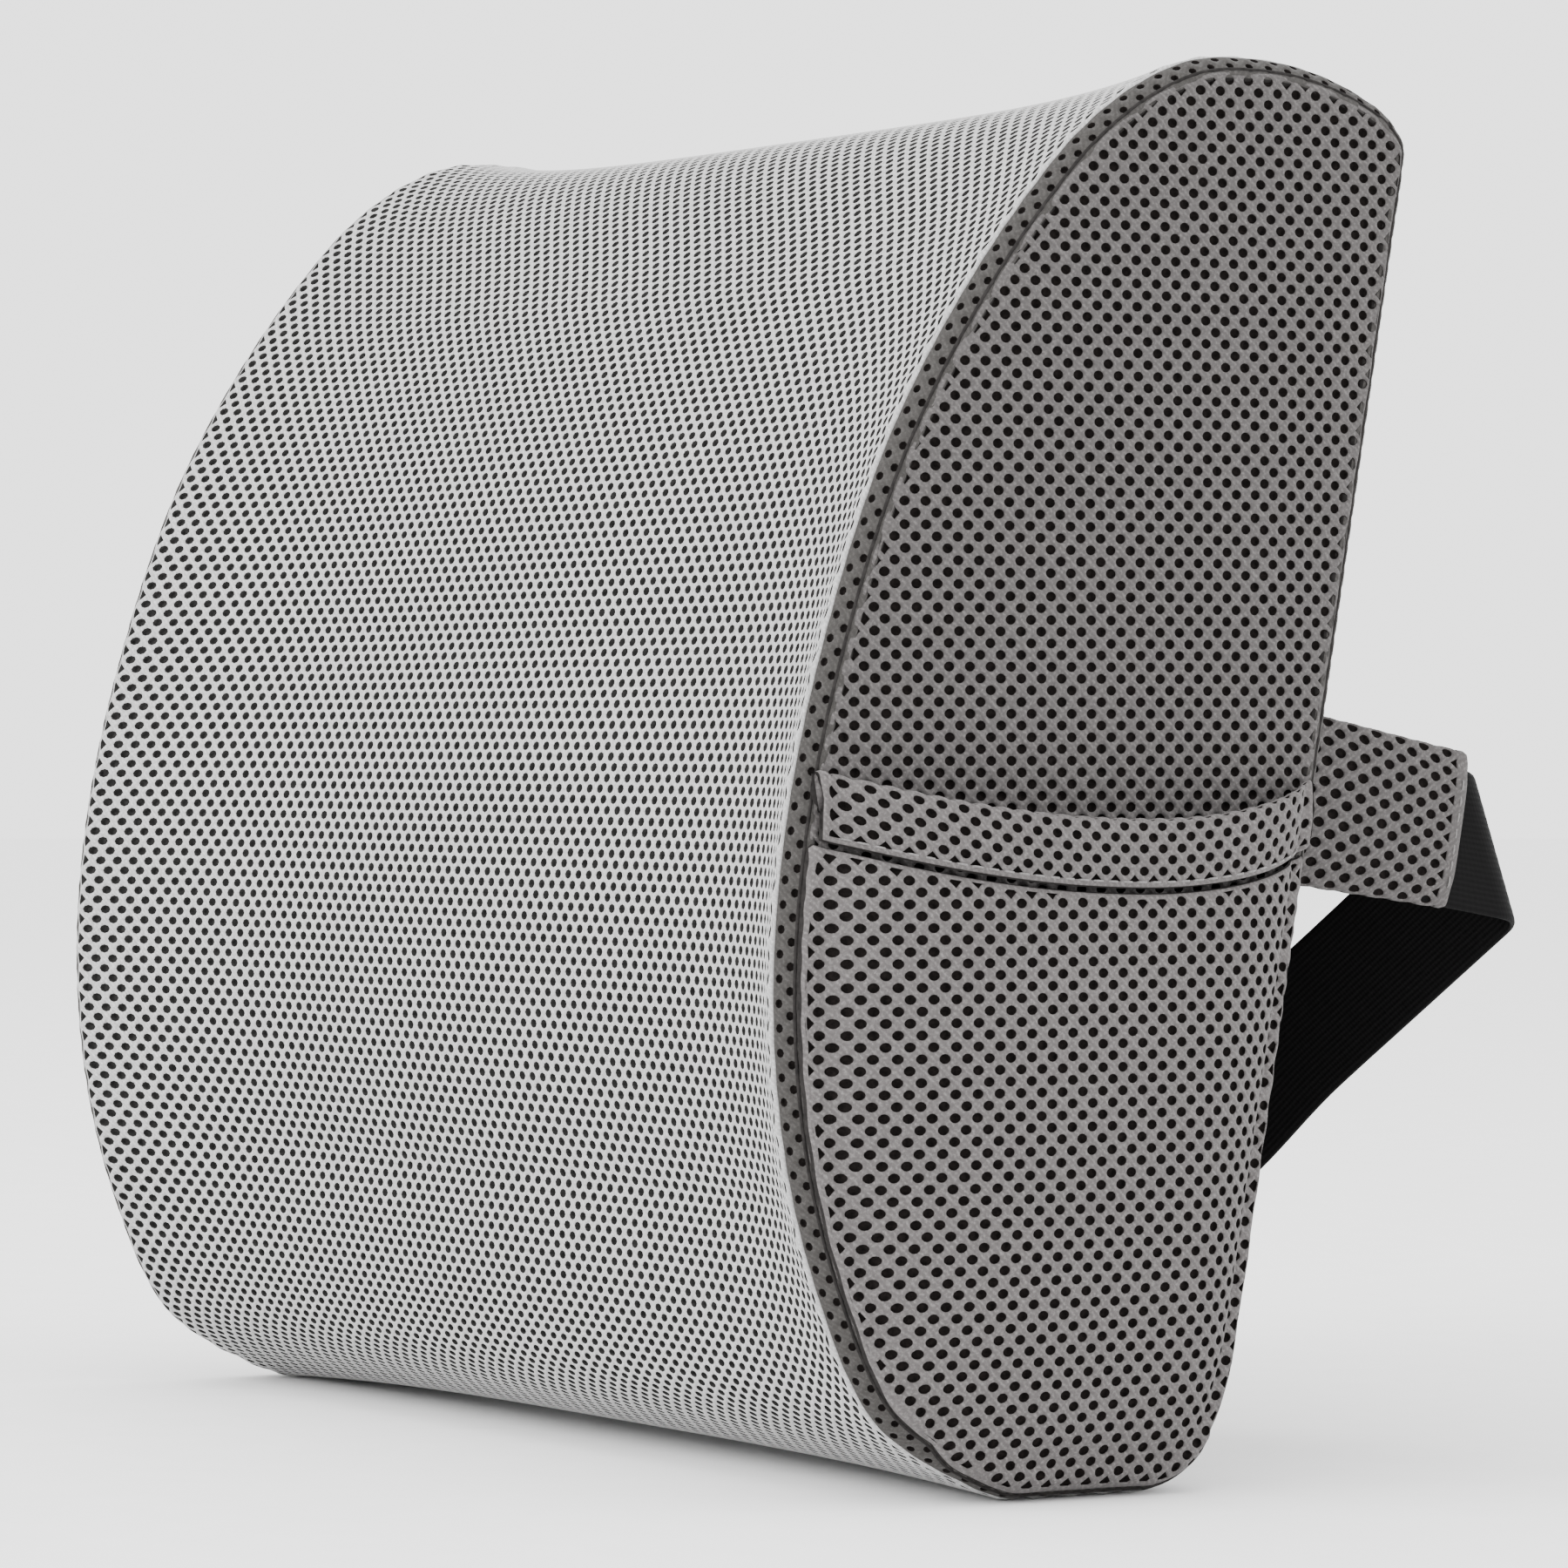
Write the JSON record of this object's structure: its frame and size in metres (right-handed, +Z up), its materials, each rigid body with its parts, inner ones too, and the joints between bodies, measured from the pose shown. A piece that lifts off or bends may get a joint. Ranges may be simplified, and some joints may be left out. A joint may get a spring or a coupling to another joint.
{
  "type": "lumbar support cushion",
  "caption": "Leaning D-shaped foam lumbar cushion in a zipped mesh cover, with a side phone pocket and an elastic chair strap with a side-release buckle.",
  "frame": {"origin": "middle of the flat patch that the cushion stands on", "axes": "+X across the width towards the pocket end, -Y the front that the sitter leans on, +Y towards the chair back, +Z up"},
  "size_m": [0.3615, 0.2011, 0.2989],
  "materials": {
    "foam": "open-cell memory foam",
    "liner": "white elastic knit",
    "front_mesh": "light grey fine air mesh",
    "side_mesh": "mid grey coarse air mesh",
    "webbing": "black ribbed elastic webbing",
    "buckle": "black moulded acetal",
    "zip_cloth": "woven zip tape",
    "zip_coil": "nylon coil",
    "zip_metal": "satin painted zinc",
    "label": "blank satin ribbon"
  },
  "bodies": {
    "cushion": {"foam_core": "foam", "inner_liner": "liner", "front_panel": "front_mesh", "back_panel_upper": "side_mesh", "back_panel_lower": "side_mesh", "edge_band_right": "side_mesh", "edge_band_left": "side_mesh", "side_panel_right": "side_mesh", "side_panel_left": "side_mesh", "pocket_panel": "side_mesh", "pocket_hem": "side_mesh", "strap_tab_right": "side_mesh", "strap_tab_left": "side_mesh", "strap_right": "webbing", "strap_left": "webbing", "buckle_socket": "buckle", "zip_tape_upper": "zip_cloth", "zip_tape_lower": "zip_cloth", "zip_coil_upper": "zip_coil", "zip_coil_lower": "zip_coil", "zip_stop_right": "zip_metal", "zip_stop_left": "zip_metal", "care_label": "label"},
    "tongue": {"buckle_tongue": "buckle"},
    "prong_upper": {"buckle_prong_upper": "buckle"},
    "prong_lower": {"buckle_prong_lower": "buckle"},
    "adjuster": {"strap_adjuster": "buckle"},
    "slider": {"zip_slider": "zip_metal"},
    "pull": {"zip_pull": "zip_metal"}
  },
  "joints": [
    {"name": "buckle_release", "type": "slide", "parent": "cushion", "child": "tongue", "axis": [1, 0, 0], "range_m": [0, 0.036], "deforming": ["strap_right", "buckle_prong_upper", "buckle_prong_lower"]},
    {"name": "prong_upper_flex", "type": "hinge", "parent": "tongue", "child": "prong_upper", "pos_m": [0.0122, 0.097, 0.0748], "axis": [0, 1, 0], "range_deg": [-13, 0], "stiffness_Nm_per_rad": 0.3},
    {"name": "prong_lower_flex", "type": "hinge", "parent": "tongue", "child": "prong_lower", "pos_m": [0.0122, 0.097, 0.0472], "axis": [0, 1, 0], "range_deg": [0, 13], "stiffness_Nm_per_rad": 0.3},
    {"name": "adjuster_slide", "type": "slide", "parent": "cushion", "child": "adjuster", "axis": [0.8109, -0.1509, -0.5653], "range_m": [-0.006, 0.01]},
    {"name": "zip_slide", "type": "slide", "parent": "cushion", "child": "slider", "axis": [1, 0, 0], "range_m": [-0.24, 0]},
    {"name": "zip_pull_flip", "type": "hinge", "parent": "slider", "child": "pull", "pos_m": [0.1216, 0.04698, 0.05502], "axis": [0, -0.1719, -0.9851], "range_deg": [0, 180]}
  ]
}
